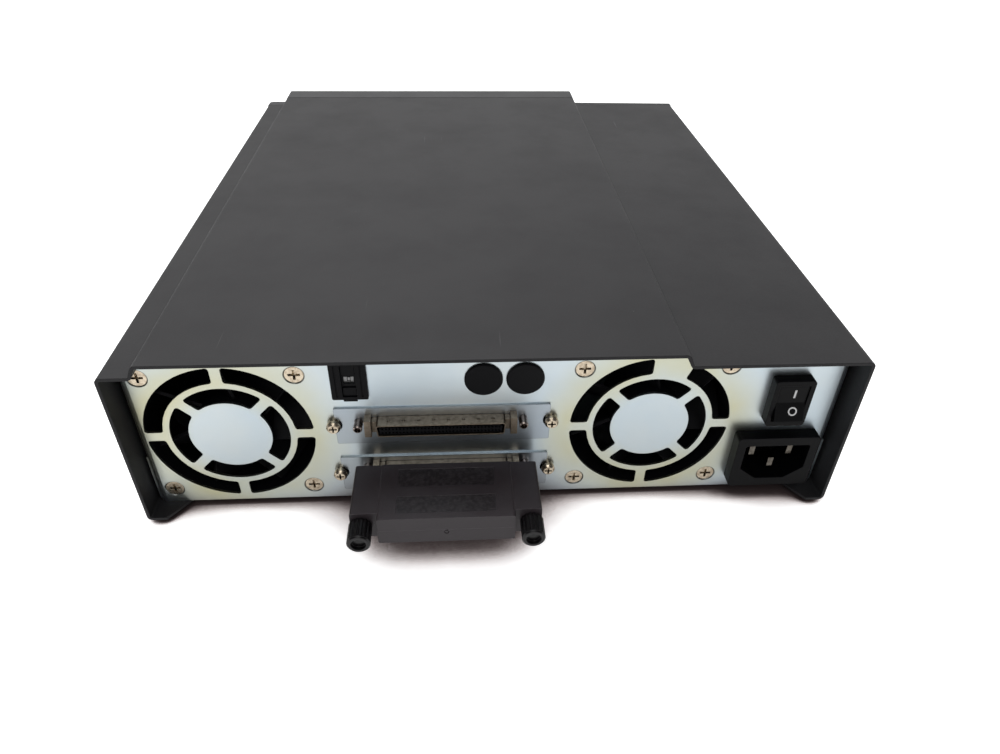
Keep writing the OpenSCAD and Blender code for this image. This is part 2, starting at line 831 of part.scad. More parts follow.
module foot(side, d) {
    color(rubber) at(side * flange_mid, d, -foot_h) cylinder(r1 = foot_r * foot_taper_share, r2 = foot_r, h = foot_h);
}
module rear_left_foot() { foot(-1, foot_inset); }
module rear_right_foot() { foot(1, foot_inset); }
module front_left_foot() { foot(-1, cover_len - foot_inset); }
module front_right_foot() { foot(1, cover_len - foot_inset); }

module fan_frame(u) {
    color(black_plastic) rear(u, fan_z, panel_in) difference() {
        union() {
            difference() {
                slab(rounded(rect(fan_size, fan_size), fan_corner_r), -fan_depth, 0);
                cut_round(fan_bore_r, -fan_depth, 0);
                for (s = [-1, 1]) translate([s * fan_size / 2, 0, 0]) rotate([0, 45, 0])
                    cube([fan_edge_chamfer * sqrt(2), fan_size + over, fan_edge_chamfer * sqrt(2)], center = true);
            }
            for (a = [45, 135, 225, 315]) rotate(a)
                translate([0, -strut_w / 2, -fan_depth]) cube([fan_bore_r + strut_sink, strut_w, strut_t]);
            translate([0, 0, -fan_depth]) cylinder(r = hub_r, h = strut_t);
            translate([0, 0, -fan_depth]) cylinder(r = stator_r, h = stator_h);
            translate([0, 0, -fan_depth]) cylinder(r = fan_pin_r, h = fan_depth - hub_top_gap - hub_wall - over);
        }
        for (x = [-1, 1], y = [-1, 1]) translate([x, y] * fan_pitch / 2)
            cut_round(fan_screw_r + run_gap, -fan_depth, 0);
    }
}
module fan_impeller(u) {
    sleeve_end = stator_h - fan_depth + spin_gap;
    skirt_end = strut_t - fan_depth + over;
    color(black_plastic) rear(u, fan_z, panel_in) difference() {
        union() {
            translate([0, 0, skirt_end]) cylinder(r = hub_r, h = -hub_top_gap - skirt_end);
            intersection() {
                translate([0, 0, skirt_end]) cylinder(r = fan_bore_r - blade_tip_gap, h = -hub_top_gap - skirt_end);
                for (i = [0:blades - 1]) rotate(i * 360 / blades)
                    translate([hub_r - strut_sink, 0, (skirt_end - hub_top_gap) / 2]) rotate([blade_pitch, 0, 0])
                        translate([0, -blade_t / 2, -blade_chord / 2]) cube([fan_bore_r, blade_t, blade_chord]);
            }
        }
        difference() {
            translate([0, 0, skirt_end - over])
                cylinder(r = hub_r - hub_wall, h = -hub_top_gap - hub_wall - skirt_end + over);
            translate([0, 0, sleeve_end]) cylinder(r = sleeve_r, h = fan_depth);
        }
        translate([0, 0, -fan_depth]) cylinder(r = fan_pin_r + run_gap, h = fan_depth - hub_top_gap - hub_wall);
    }
}
module left_fan_frame() { fan_frame(left_fan_u); }
module right_fan_frame() { fan_frame(right_fan_u); }
module left_fan_impeller() { fan_impeller(left_fan_u); }
module right_fan_impeller() { fan_impeller(right_fan_u); }
module fan_screws() {
    set_back = fan_screw_hole_r - fan_screw_head_r;
    color(nickel) fan_screw_places() translate([0, 0, -set_back])
        flat_screw(fan_screw_head_r, fan_screw_r, fan_screw_len);
}

module jack_places(i) {
    for (s = [-1, 1]) translate([socket_shift[i] + s * jack_pitch / 2, socket_rise[i]]) children();
}
module plate_screw_pair() {
    for (s = [-1, 1]) translate([s * plate_screw_pitch / 2, plate_screw_rise]) children();
}
module connector_plate(i) {
    color(zinc) on_panel(plate_u, plate_zs[i]) difference() {
        slab(rounded(rect(plate_w, plate_h), plate_corner_r), 0, plate_t);
        translate([socket_shift[i], socket_rise[i]])
            slab(d_shape(socket_w, socket_h, shell_corner_r), -over, plate_t + over);
        jack_places(i) cut_round(jack_shank_r + run_gap, 0, plate_t);
        plate_screw_pair() cut_round(plate_notch_r, 0, plate_t);
    }
}
module upper_plate() { connector_plate(1); }
module lower_plate() { connector_plate(0); }
module plate_screws() {
    color(nickel) for (z = plate_zs) on_panel(plate_u, z) plate_screw_pair() {
        cylinder(r = plate_screw_collar_r, h = plate_screw_collar_h + sink);
        translate([0, 0, plate_screw_collar_h])
            pan_screw(plate_screw_head_r, plate_screw_head_h, plate_screw_r, plate_screw_len);
    }
}

module socket_shell(i) {
    end = plate_t + socket_out;
    color(nickel) on_panel(plate_u + socket_shift[i], plate_zs[i] + socket_rise[i]) difference() {
        union() {
            slab(d_shape(socket_w, socket_h, shell_corner_r), -tray_t - socket_flange_t, end);
            slab(rect(socket_housing_w, socket_housing_h), -tray_t - socket_flange_t, -tray_t);
            for (s = [-1, 1]) translate([s * (socket_w / 2 + ear_reach - ear_w / 2), 0])
                slab(rect(ear_w, ear_h), plate_t, plate_t + ear_out);
            for (s = [-1, 1]) translate([s * (socket_w - socket_wall + ear_link_w) / 2, 0])
                slab(rect(ear_link_w, ear_link_h), plate_t, plate_t + ear_link_out);
            for (i = [0:dimples - 1]) translate([(i - (dimples - 1) / 2) * dimple_pitch,
                    socket_h / 2 + dimple_rise - dimple_r, plate_t + socket_out / 2]) sphere(r = dimple_r);
        }
        slab(d_shape(socket_w - 2 * socket_wall, socket_h - 2 * socket_wall, shell_inner_r),
            -tray_t - socket_flange_t - over, end + over);
        for (s = [-1, 1]) translate([s * jack_pitch / 2, 0])
            cut_round(jack_shank_r + run_gap, -tray_t - socket_flange_t, -tray_t);
    }
}
module socket_insert(i) {
    back = -tray_t - socket_flange_t;
    face = plate_t + socket_out - tongue_set_back;
    color(black_plastic) on_panel(plate_u + socket_shift[i], plate_zs[i] + socket_rise[i]) difference() {
        union() {
            slab(rect(socket_housing_w, socket_housing_h), back - socket_housing_len, back);
            slab(d_shape(tongue_w, tongue_h, shell_inner_r), back - over, face);
        }
        contact_places() translate([0, 0, face - contact_depth])
            slab(rect(contact_hole, contact_hole), 0, contact_depth + over);
        for (s = [-1, 1]) translate([s * jack_pitch / 2, 0])
            cut_round(jack_shank_r + run_gap, back - socket_housing_len, back);
    }
}
module contact_places() {
    for (i = [0:contacts_per_row - 1], y = [-1, 1])
        translate([(i - (contacts_per_row - 1) / 2) * contact_pitch, y * contact_row, 0]) children();
}
module upper_socket_shell() { socket_shell(1); }
module lower_socket_shell() { socket_shell(0); }
module upper_socket_insert() { socket_insert(1); }
module lower_socket_insert() { socket_insert(0); }
module jack_posts() {
    color(nickel) for (i = [0, 1]) on_panel(plate_u, plate_zs[i]) jack_places(i) difference() {
        union() {
            translate([0, 0, plate_t]) cylinder(r = jack_r, h = jack_out - jack_chamfer);
            translate([0, 0, plate_t + jack_out - jack_chamfer])
                cylinder(r1 = jack_r, r2 = jack_r - jack_chamfer, h = jack_chamfer);
            translate([0, 0, plate_t - jack_shank_len]) cylinder(r = jack_shank_r, h = jack_shank_len + over);
        }
        translate([0, 0, plate_t + jack_floor]) cylinder(r = jack_bore_r, h = jack_out);
    }
}

module id_switch_housing() {
    color(black_plastic) on_panel(id_u, id_z) difference() {
        union() {
            slab(rounded(rect(id_w, id_h), id_corner_r), 0, id_rim_t);
            slab(rect(id_body_w, id_body_h), -id_body_len, over);
            translate([-id_tab_w / 2, -id_h / 2 - id_tab_h, 0]) cube([id_tab_w, id_h / 2, id_rim_t]);
        }
        difference() {
            slab(rect(id_channel_w, id_channel_h), -id_body_len + id_web_t, id_rim_t + over);
            slab(rect(id_channel_w + over, id_web_h), -id_web_t, 0);
        }
        slab(rect(id_window_w, id_window_h), -id_web_t - over, over);
        translate([0, 0, id_wheel_z]) rotate([0, 90, 0])
            cylinder(r = id_axle_r + run_gap, h = id_channel_w + 2 * id_axle_len + over, center = true);
        for (s = [-1, 1])
            translate([s * (id_w + id_channel_w) / 4 - id_groove_w / 2, -id_channel_h / 2, id_rim_t - id_groove_depth])
                cube([id_groove_w, id_channel_h, id_groove_depth + over]);
    }
}
module id_wheel() {
    w = id_channel_w - 2 * rail_gap;
    color(pale_grey) on_panel(id_u, id_z) translate([0, 0, id_wheel_z]) rotate([0, 90, 0]) {
        cylinder(r = id_wheel_r, h = w, center = true);
        cylinder(r = id_axle_r, h = w + 2 * id_axle_len, center = true);
    }
}
module id_button(side) {
    y = (id_web_h + id_button_h) / 2 + rail_gap;
    color(charcoal) on_panel(id_u, id_z) translate([0, side * y, 0])
        slab(rounded(rect(id_channel_w - 2 * slip_gap, id_button_h), id_button_corner_r),
            id_button_out - id_button_len, id_button_out);
}
module id_button_up() { id_button(1); }
module id_button_down() { id_button(-1); }

module hole_plug(i) {
    color(black_plastic) on_panel(plug_u + (i - 0.5) * plug_pitch, plug_z) difference() {
        union() {
            cylinder(r = plug_r, h = plug_head_t * plug_rim_share);
            translate([0, 0, plug_head_t * plug_rim_share])
                cylinder(r1 = plug_r, r2 = plug_r - plug_chamfer, h = plug_head_t * (1 - plug_rim_share));
            translate([0, 0, -plug_len]) cylinder(r = plug_shank_r, h = plug_len + plug_head_t / 2);
        }
        translate([0, 0, -plug_len - over]) cylinder(r = plug_shank_r - plug_wall, h = plug_len + over);
    }
}
module left_hole_plug() { hole_plug(0); }
module right_hole_plug() { hole_plug(1); }

module power_switch_body() {
    color(black_plastic) on_panel(switch_u, switch_z) difference() {
        union() {
            slab(rounded(rect(switch_w, switch_h), switch_chamfer), 0, switch_rim_t);
            slab(rect(switch_body_w, switch_body_h), -switch_body_len, over);
            for (y = [-1, 1])
                translate([-terminal_w / 2, y * terminal_offset - terminal_t / 2, -switch_body_len - terminal_len])
                    cube([terminal_w, terminal_t, terminal_len + over]);
        }
        slab(rect(rocker_w + 2 * rail_gap, 2 * rocker_pocket_half), -rocker_pocket_depth, switch_rim_t + over);
        translate([0, 0, rocker_pivot_z]) rotate([0, 90, 0])
            cylinder(r = rocker_pin_r + run_gap, h = rocker_w + 2 * rocker_pin_len + slip_gap, center = true);
    }
}
// Rocker in its middle position: y along the switch and z out, as a side view
function rocker_side() =
    [[-rocker_half, -rocker_under], [rocker_half, -rocker_under], [rocker_half, rocker_rise],
        [0, 0], [-rocker_half, rocker_rise]];
module power_rocker() {
    color(black_plastic) on_panel(switch_u, switch_z) translate([0, 0, rocker_pivot_z]) rotate([-rocker_tilt, 0, 0]) {
        translate([-rocker_w / 2, 0, rocker_lift]) rotate([90, 0, 90])
            linear_extrude(rocker_w) polygon(rocker_side());
        rotate([0, 90, 0]) cylinder(r = rocker_pin_r, h = rocker_w + 2 * rocker_pin_len, center = true);
    }
}

function inlet_hollow() =
    let (w = inlet_cavity_w / 2, h = inlet_cavity_h / 2, c = inlet_cut_w, t = inlet_cut_h)
    rounded([[-w + c, -h], [w - c, -h], [w, -h + t], [w, h], [-w, h], [-w, -h + t]], inlet_cavity_r);
module inlet_pin_places() {
    for (p = [[-inlet_pin_pitch / 2, inlet_pin_rise], [inlet_pin_pitch / 2, inlet_pin_rise], [0, -inlet_pin_rise]])
        translate(p) children();
}
module inlet_body() {
    color(black_plastic) on_panel(inlet_u, inlet_z) difference() {
        union() {
            slab(rounded(rect(inlet_w, inlet_h), inlet_chamfer), 0, inlet_out);
            slab(rect(inlet_body_w, inlet_body_h), -inlet_body_len, over);
        }
        slab(inlet_hollow(), inlet_floor_t - inlet_body_len, inlet_out + over);
        inlet_pin_places() slab(rect(inlet_pin_w, inlet_pin_h), -inlet_body_len - over, 0);
    }
}
module inlet_pins() {
    color(nickel) on_panel(inlet_u, inlet_z) {
        inlet_pin_places() slab(rect(inlet_pin_w, inlet_pin_h), -inlet_body_len - inlet_lug_len, inlet_pin_tip_z);
        translate([0, -inlet_pin_rise])
            slab(rect(inlet_pin_w, inlet_pin_h), inlet_pin_tip_z - over, inlet_pin_tip_z + inlet_earth_lead);
    }
}

// Half of the terminator's housing: side is 1 for the top and -1 for the bottom
module term_half(side) {
    nose_top = term_h / 2;
    shoulder_top = side > 0 ? nose_top - term_step : nose_top;
    difference() {
        intersection() {
            union() {
                slab(rounded(rect(term_w, 2 * shoulder_top), term_corner_r), term_back, term_front);
                slab(rounded(rect(term_nose_w, 2 * nose_top), term_corner_r), term_back, term_nose);
            }
            translate([-term_w / 2, side > 0 ? 0 : -nose_top, term_back])
                cube([term_w, nose_top, term_nose - term_back]);
        }
        slab(rect(term_nose_w - 2 * term_wall, 2 * (nose_top - term_wall)), term_back + term_wall + plug_flange_t,
            term_nose - term_wall);
        slab(rect(plug_flange_w, 2 * (nose_top - term_wall)), term_back + term_wall,
            term_back + pin_block_len + slip_gap);
        slab(d_shape(plug_shell_w, plug_shell_h, shell_inner_r), term_back - over, term_back + term_wall + over);
        for (s = [-1, 1]) translate([s * jack_pitch / 2, 0]) thumb_channel();
        if (side > 0) label_patches(nose_top);
        if (side < 0) translate([0, pip_rise, term_nose - pip_t]) difference() {
            cylinder(r = pip_r, h = pip_t + over);
            translate([0, 0, -over]) cylinder(r = pip_r / 2, h = pip_t + over);
        }
    }
    if (side < 0) for (x = [-1, 1])
        translate([x * term_board_w / 4 - term_rib_w / 2, term_wall - nose_top, term_back + term_wall + pin_block_len])
            cube([term_rib_w, nose_top - term_wall - term_board_t / 2, term_board_len * term_rib_share]);
}
// Two shallow bare patches in the top face
module label_patches(top) {
    w = term_nose_w * patch_w_share;
    len = term_nose - term_back;
    for (p = patch_shares) translate([-w / 2, top - patch_depth, term_back + p[0] * len])
        cube([w, patch_depth + over, p[1] * len]);
}
module thumb_channel() {
    cut_round(thumb_r + run_gap, term_back, term_front);
    translate([0, 0, term_back + thumb_collar_depth - spin_gap])
        cylinder(r = thumb_collar_r + spin_gap, h = thumb_collar_t + 2 * spin_gap);
}
module terminator_top_shell() {
    color(black_plastic) on_panel(term_u, term_z) term_half(1);
}
module terminator_bottom_shell() {
    color(black_plastic) on_panel(term_u, term_z) term_half(-1);
}
module terminator_plug_shell() {
    back = term_back + term_wall + plug_flange_t;
    color(nickel) on_panel(term_u, term_z) difference() {
        union() {
            slab(d_shape(plug_shell_w, plug_shell_h, shell_inner_r), term_back - plug_reach, back);
            slab(rect(plug_flange_w - over, term_h - 2 * term_wall - over), back - plug_flange_t, back);
        }
        slab(d_shape(pin_block_w, pin_block_h, pin_block_corner_r), term_back - plug_reach - over, back + over);
    }
}
module terminator_pin_block() {
    color(black_plastic) on_panel(term_u, term_z) difference() {
        slab(d_shape(pin_block_w, pin_block_h, pin_block_corner_r), term_back, term_back + pin_block_len);
        contact_places() slab(rect(pin_t, pin_t), term_back - over, term_back + pin_block_len / 2);
    }
}
module terminator_pins() {
    color(nickel) on_panel(term_u, term_z) contact_places()
        slab(rect(pin_t, pin_t), term_back - pin_reach, term_back + pin_block_len / 2);
}
module terminator_board() {
    start = term_back + pin_block_len;
    color(green_board) on_panel(term_u, term_z) {
        translate([-term_board_w / 2, -term_board_t / 2, start]) cube([term_board_w, term_board_t, term_board_len]);
        for (i = [-1.5:1.5])
            translate([i * (resistor_w + resistor_gap) - resistor_w / 2, term_board_t / 2 - sink, 0])
                translate([0, 0, start + resistor_set_back]) cube([resistor_w, resistor_h + sink, resistor_len]);
    }
}
module thumbscrew(side) {
    base = term_front + knob_gap;
    tip = plate_t + jack_out - thumb_tip_reach;
    color(black_plastic) on_panel(term_u, term_z) translate([side * jack_pitch / 2, 0, 0]) difference() {
        union() {
            translate([0, 0, tip]) cylinder(r = thumb_tip_r, h = thumb_tip_reach + thumb_root);
            translate([0, 0, term_back - thumb_shoulder])
                cylinder(r = thumb_r, h = base - term_back + thumb_shoulder + over);
            translate([0, 0, term_back + thumb_collar_depth]) cylinder(r = thumb_collar_r, h = thumb_collar_t);
            translate([0, 0, base]) cylinder(r = knob_r, h = knob_len - knob_chamfer);
            translate([0, 0, base + knob_len - knob_chamfer])
                cylinder(r1 = knob_r, r2 = knob_r - knob_chamfer, h = knob_chamfer);
        }
        for (i = [0:knob_grooves - 1]) rotate(i * 360 / knob_grooves)
            translate([knob_r + knob_groove_r * 0.3, 0, base - over])
                cylinder(r = knob_groove_r, h = knob_len - knob_groove_end + over, $fn = 24);
        translate([0, 0, base + knob_len - knob_recess]) cylinder(r = knob_recess_r, h = knob_recess + over);
    }
}
module left_thumbscrew() { thumbscrew(-1); }
module right_thumbscrew() { thumbscrew(1); }

// Power supply
board_z = tray_t + standoff_h;
module supply_hole_places(z) {
    for (u = [supply_u + supply_inset, supply_u + supply_w - supply_inset],
            d = [supply_d + supply_inset, supply_d + supply_len - supply_inset]) at(u, d, z) children();
}
module supply_board() {
    color(green_board) difference() {
        block(supply_u, supply_d, board_z, supply_w, supply_len, board_t);
        supply_hole_places(board_z) cut_round(screw_hole_r, 0, board_t);
    }
}
module supply_standoffs() {
    color(nickel) supply_hole_places(tray_t) difference() {
        cylinder(r = standoff_r, h = standoff_h, $fn = 6);
        translate([0, 0, over]) cylinder(r = screw_hole_r, h = standoff_h);
    }
}
module supply_transformer() {
    u = supply_u + (supply_w - transformer_w) / 2;
    d = supply_d + supply_len * transformer_d_share;
    color([0.75, 0.62, 0.2]) {
        block(u, d + coil_inset, board_z + board_t, transformer_w, transformer_len - 2 * coil_inset, transformer_h);
        block(u + coil_inset, d, board_z + board_t + coil_inset, transformer_w - 2 * coil_inset, transformer_len,
            transformer_h - 2 * coil_inset);
    }
}
module supply_capacitors() {
    color([0.12, 0.14, 0.3]) for (s = capacitor_shares)
        at(supply_u + supply_w * s, supply_d + supply_len * capacitor_d_share, board_z + board_t)
            cylinder(r = capacitor_r, h = capacitor_h);
}
module supply_heatsink() {
    u = supply_u + (supply_w - heatsink_w) / 2;
    d = supply_d + supply_len - heatsink_len - 2 * supply_inset;
    pitch = (heatsink_len - fin_t) / (heatsink_fins - 1);
    color(cast_alloy) {
        block(u, d, board_z + board_t, heatsink_base, heatsink_len, heatsink_h);
        for (i = [0:heatsink_fins - 1]) block(u, d + i * pitch, board_z + board_t, heatsink_w, fin_t, heatsink_h);
    }
}

// Tape drive
module drive_chassis() {
    inner_w = drive_w - 2 * drive_wall;
    color(cast_alloy) difference() {
        union() {
            difference() {
                block(drive_u0, drive_back, drive_z, drive_w, drive_len, drive_h - lid_t);
                block(drive_u0 + drive_wall, drive_back + drive_wall, drive_floor, inner_w, drive_len, drive_h);
            }
            drive_post_places() cylinder(r = drive_post_r, h = drive_board_z - drive_floor + over);
            at(drive_u, fascia_back - hub_depth, drive_floor - over)
                cylinder(r = hub_pin_r, h = over + spin_gap + supply_hub_t);
            at(drive_u, fascia_back - reel_depth, drive_floor - over)
                cylinder(r = reel_pin_r, h = over + spin_gap + reel_h);
            for (s = [-1, 1]) at(drive_u + s * head_pitch / 2, fascia_back - head_depth, drive_floor - over)
                cylinder(r = head_pin_r, h = head_pin_h);
            for (s = [-1, 1]) block(drive_u + s * (carrier_w / 2 + rail_gap + rail_w / 2) - rail_w / 2,
                fascia_back - carrier_depth - carrier_len, drive_floor - over, rail_w, carrier_len, rail_h + over);
        }
        drive_screw_places() cut_round(screw_hole_r, -bracket_t - drive_wall + drive_hole_floor, -bracket_t);
        drive_post_places() translate([0, 0, over]) cylinder(r = screw_hole_r, h = drive_board_z - drive_floor);
        block(drive_u - header_w / 2 - slip_gap, drive_back - over, drive_board_z - header_h - slip_gap,
            header_w + 2 * slip_gap, drive_wall + 2 * over, drive_top - drive_board_z + header_h);
    }
}
module drive_post_places() {
    u = drive_w / 2 - drive_wall - drive_post_inset;
    d0 = drive_back + drive_wall;
    for (s = [-1, 1], d = [d0 + drive_post_inset, d0 + drive_board_len - drive_post_inset])
        at(drive_u + s * u, d, drive_floor - over) children();
}
module drive_lid() {
    color(zinc) block(drive_u0, drive_back, drive_top - lid_t, drive_w, drive_len, lid_t);
}
module drive_fascia() {
    h = drive_h / 2;
    color(charcoal) rear(drive_u, drive_z + h, fascia_front) difference() {
        slab(rounded(rect(fascia_w, drive_h), fascia_corner_r), 0, fascia_t);
        translate([slot_u - drive_u, slot_z + slot_h / 2 - drive_z - h]) {
            slab(rect(slot_w, slot_h), -over, fascia_t + over);
            translate([0, slot_h / 2 - door_pin_drop, door_set_back]) rotate([0, 90, 0])
                cylinder(r = door_pin_r + run_gap, h = slot_w + 2 * (door_pin_len - door_gap) + over, center = true);
        }
        translate([button_u - drive_u, button_z - drive_z - h])
            slab(rounded(rect(button_w + 2 * slip_gap, button_h + 2 * slip_gap), button_corner_r + slip_gap),
                -over, fascia_t + over);
        lamp_places() translate([0, -h]) cut_round(lamp_r, 0, fascia_t);
    }
}
// Lamps in the fascia, from its lower edge's middle
module lamp_places() {
    for (i = [0, 1])
        translate([slot_u - slot_w / 2 - lamp_gap - drive_u, lamp_z - drive_z + i * lamp_pitch]) children();
}
module activity_lights() {
    color([0.35, 0.8, 0.4]) rear(drive_u, drive_z, fascia_front) lamp_places() translate([0, 0, -lamp_rise])
        cylinder(r = lamp_r, h = fascia_t);
}
module power_light() {
    color([0.35, 0.8, 0.4]) rear(light_u, light_z, floor_front) translate([0, 0, -light_len])
        cylinder(r = light_r, h = light_len);
}
module tape_door() {
    top = door_pin_drop - door_pin_r;
    color(charcoal) rear(slot_u, slot_z, fascia_front) {
        translate([0, 0, door_set_back - door_t / 2]) translate([-slot_w / 2 + door_gap, door_gap, 0])
            cube([slot_w - 2 * door_gap, slot_h - door_gap - top, door_t]);
        translate([0, slot_h - door_pin_drop, door_set_back]) rotate([0, 90, 0])
            cylinder(r = door_pin_r, h = slot_w - 2 * door_gap + 2 * door_pin_len, center = true);
    }
}
module eject_button() {
    w = button_w;
    color(pale_grey) rear(button_u, button_z, fascia_front) {
        slab(rounded(rect(w, button_h), button_corner_r), -button_out, fascia_t + slip_gap + over);
        slab(rect(w + 2 * button_flange, button_h + 2 * button_flange),
            fascia_t + slip_gap, fascia_t + slip_gap + button_flange_t);
    }
}
module supply_hub() {
    color(black_plastic) at(drive_u, fascia_back - hub_depth, drive_floor + spin_gap) difference() {
        union() {
            cylinder(r = supply_hub_r, h = supply_hub_t);
            for (i = [0:hub_teeth - 1]) rotate(i * 360 / hub_teeth) translate([hub_tooth_ring_r, 0, supply_hub_t / 2])
                cylinder(r = hub_tooth_r, h = supply_hub_t / 2 + hub_tooth_rise, $fn = 24);
        }
        cut_round(hub_pin_r + run_gap, 0, supply_hub_t);
    }
}
module take_up_reel() {
    color(black_plastic) at(drive_u, fascia_back - reel_depth, drive_floor + spin_gap) difference() {
        union() {
            cylinder(r = reel_r, h = reel_flange_t);
            cylinder(r = reel_core_r, h = reel_h);
            translate([0, 0, reel_h - reel_flange_t]) cylinder(r = reel_r, h = reel_flange_t);
        }
        cut_round(reel_pin_r + run_gap, 0, reel_h);
    }
}
module head_carriage() {
    color(cast_alloy) at(drive_u, fascia_back - head_depth, drive_floor + head_rise) difference() {
        union() {
            translate([-head_w / 2, -head_len / 2, 0]) cube([head_w, head_len, head_h]);
            translate([-head_pitch / 4, -head_len / 2 - head_face_out, head_face_inset])
                cube([head_pitch / 2, head_face_out + over, head_h - 2 * head_face_inset]);
        }
        for (s = [-1, 1]) translate([s * head_pitch / 2, 0]) cut_round(head_pin_r + run_gap, 0, head_h);
    }
}
module cartridge_carrier() {
    d = fascia_back - carrier_depth - carrier_len;
    z = drive_floor + carrier_drop + over;
    color(zinc) {
        block(drive_u - carrier_w / 2, d, z + carrier_h - carrier_t, carrier_w, carrier_len, carrier_t);
        for (s = [-1, 1], size = [[carrier_t, carrier_h], [carrier_lip, carrier_t]])
            block(drive_u + s * (carrier_w - size[0]) / 2 - size[0] / 2, d, z, size[0], carrier_len, size[1]);
    }
}
module drive_board() {
    u0 = drive_u0 + drive_wall + drive_board_gap;
    d0 = drive_back + drive_wall + drive_board_gap;
    top = drive_board_z + drive_board_t;
    color(green_board) difference() {
        union() {
            block(u0, d0, drive_board_z, drive_w - 2 * (drive_wall + drive_board_gap), drive_board_len, drive_board_t);
            for (s = chip_shares)
                block(u0 + s * drive_w, d0 + drive_board_len * chip_d_share, top - sink, chip_w, chip_w, chip_t);
            block(drive_u - header_w / 2, d0 - drive_board_gap, drive_board_z - header_h,
                header_w, header_len, header_h + sink);
        }
        drive_post_places() cut_round(screw_hole_r, 0, drive_top);
    }
}

// Brackets that carry the drive: side is -1 for the left and 1 for the right
bracket_len = drive_len - 2 * bracket_set_back;
function bracket_hole_d(share) = drive_back + bracket_set_back + share * bracket_len;
module bracket(side) {
    face = side * drive_w / 2 + drive_u;
    wall_u = side > 0 ? face : face - bracket_t;
    foot_u = side > 0 ? face : face - bracket_t - bracket_foot;
    d = drive_back + bracket_set_back;
    color(zinc) difference() {
        union() {
            block(wall_u, d, tray_t, bracket_t, bracket_len, bracket_h);
            block(foot_u, d, tray_t, bracket_foot + bracket_t, bracket_len, bracket_t);
            ledge_u = side > 0 ? face - bracket_foot : face;
            block(ledge_u, d, drive_z - bracket_t, bracket_foot, bracket_len, bracket_t);
        }
        drive_screw_places() cut_round(screw_hole_r, -bracket_t, 0);
        bracket_floor_places() cut_round(screw_hole_r, -bracket_t, 0);
    }
}
module left_bracket() { bracket(-1); }
module right_bracket() { bracket(1); }
// Screws from a bracket into the drive: z points away from the drive, with 0 at the bracket's face
module drive_screw_places() {
    for (s = [-1, 1], k = bracket_hole_shares)
        at(drive_u + s * (drive_w / 2 + bracket_t), bracket_hole_d(k), drive_z + bracket_hole_z)
            rotate([0, -s * 90, 0]) children();
}
// Screws from a bracket into the floor: 0 at the foot's top face
module bracket_floor_places() {
    for (s = [-1, 1], k = bracket_hole_shares)
        at(drive_u + s * (drive_w / 2 + bracket_t + bracket_foot / 2), bracket_hole_d(k), tray_t + bracket_t)
            children();
}
module chassis_screws() {
    color(nickel) {
        bezel_screw_places() inner_screw();
        drive_screw_places() inner_screw();
        bracket_floor_places() inner_screw();
        supply_hole_places(board_z + board_t) inner_screw();
        drive_post_places() translate([0, 0, drive_board_z + drive_board_t - drive_floor + over]) inner_screw();
    }
}

top_cover();
chassis_tray();
front_bezel();
rear_left_foot();
rear_right_foot();
front_left_foot();
front_right_foot();
cover_screws();
left_fan_frame();
left_fan_impeller();
right_fan_frame();
right_fan_impeller();
fan_screws();
upper_plate();
lower_plate();
plate_screws();
upper_socket_shell();
upper_socket_insert();
lower_socket_shell();
lower_socket_insert();
jack_posts();
id_switch_housing();
id_wheel();
id_button_up();
id_button_down();
left_hole_plug();
right_hole_plug();
power_switch_body();
power_rocker();
inlet_body();
inlet_pins();
terminator_top_shell();
terminator_bottom_shell();
terminator_plug_shell();
terminator_pin_block();
terminator_pins();
terminator_board();
left_thumbscrew();
right_thumbscrew();
supply_board();
supply_transformer();
supply_capacitors();
supply_heatsink();
supply_standoffs();
drive_chassis();
drive_lid();
drive_fascia();
tape_door();
eject_button();
activity_lights();
supply_hub();
take_up_reel();
head_carriage();
cartridge_carrier();
drive_board();
left_bracket();
right_bracket();
chassis_screws();
power_light();
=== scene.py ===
"""Looks of the external tape drive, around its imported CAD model. Everything is in metres."""
import math

import bmesh
import bpy
from mathutils import Matrix, Vector


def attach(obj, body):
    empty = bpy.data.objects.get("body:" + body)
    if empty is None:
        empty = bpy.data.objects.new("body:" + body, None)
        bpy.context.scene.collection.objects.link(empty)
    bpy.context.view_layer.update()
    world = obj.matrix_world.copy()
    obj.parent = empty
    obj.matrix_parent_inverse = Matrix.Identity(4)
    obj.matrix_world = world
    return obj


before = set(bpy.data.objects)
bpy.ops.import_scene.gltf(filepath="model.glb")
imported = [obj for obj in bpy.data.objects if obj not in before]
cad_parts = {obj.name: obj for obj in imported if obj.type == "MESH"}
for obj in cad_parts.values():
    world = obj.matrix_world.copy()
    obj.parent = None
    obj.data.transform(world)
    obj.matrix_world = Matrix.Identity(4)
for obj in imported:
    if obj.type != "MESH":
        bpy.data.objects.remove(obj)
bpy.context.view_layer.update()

MM = 0.001
# Places on the rear are u (to the right, seen from behind), z (up from the case's underside)
# and out (away from the rear panel), all in millimetres, as in the CAD source.
PANEL_Y = 122.775
FOOT_H = 2
FAN_US = (-90.7, 55.2)
FAN_Z = 32.3
FAN_SCREW_OFFSET = 25
SWITCH_U, SWITCH_Z = 102.4, 43.4
ROCKER_PIVOT_OUT, ROCKER_LIFT = 1.5, 2
ROCKER_HALF, ROCKER_RISE = 7, 1.4
ROCKER_REST_TILT = -10
WHEEL_U, WHEEL_Z, WHEEL_OUT, WHEEL_R = -48.2, 54.9, -3.9, 3.2


def rear(u, z, out=0.0):
    return Vector((-u, PANEL_Y + out, FOOT_H + z)) * MM


def rear_matrix(u, z, out=0.0):
    """Local x to the right, y up and z out of the panel, seen from behind."""
    turn = Matrix(((-1, 0, 0), (0, 0, 1), (0, 1, 0))).to_4x4()
    return Matrix.Translation(rear(u, z, out)) @ turn


# Camera

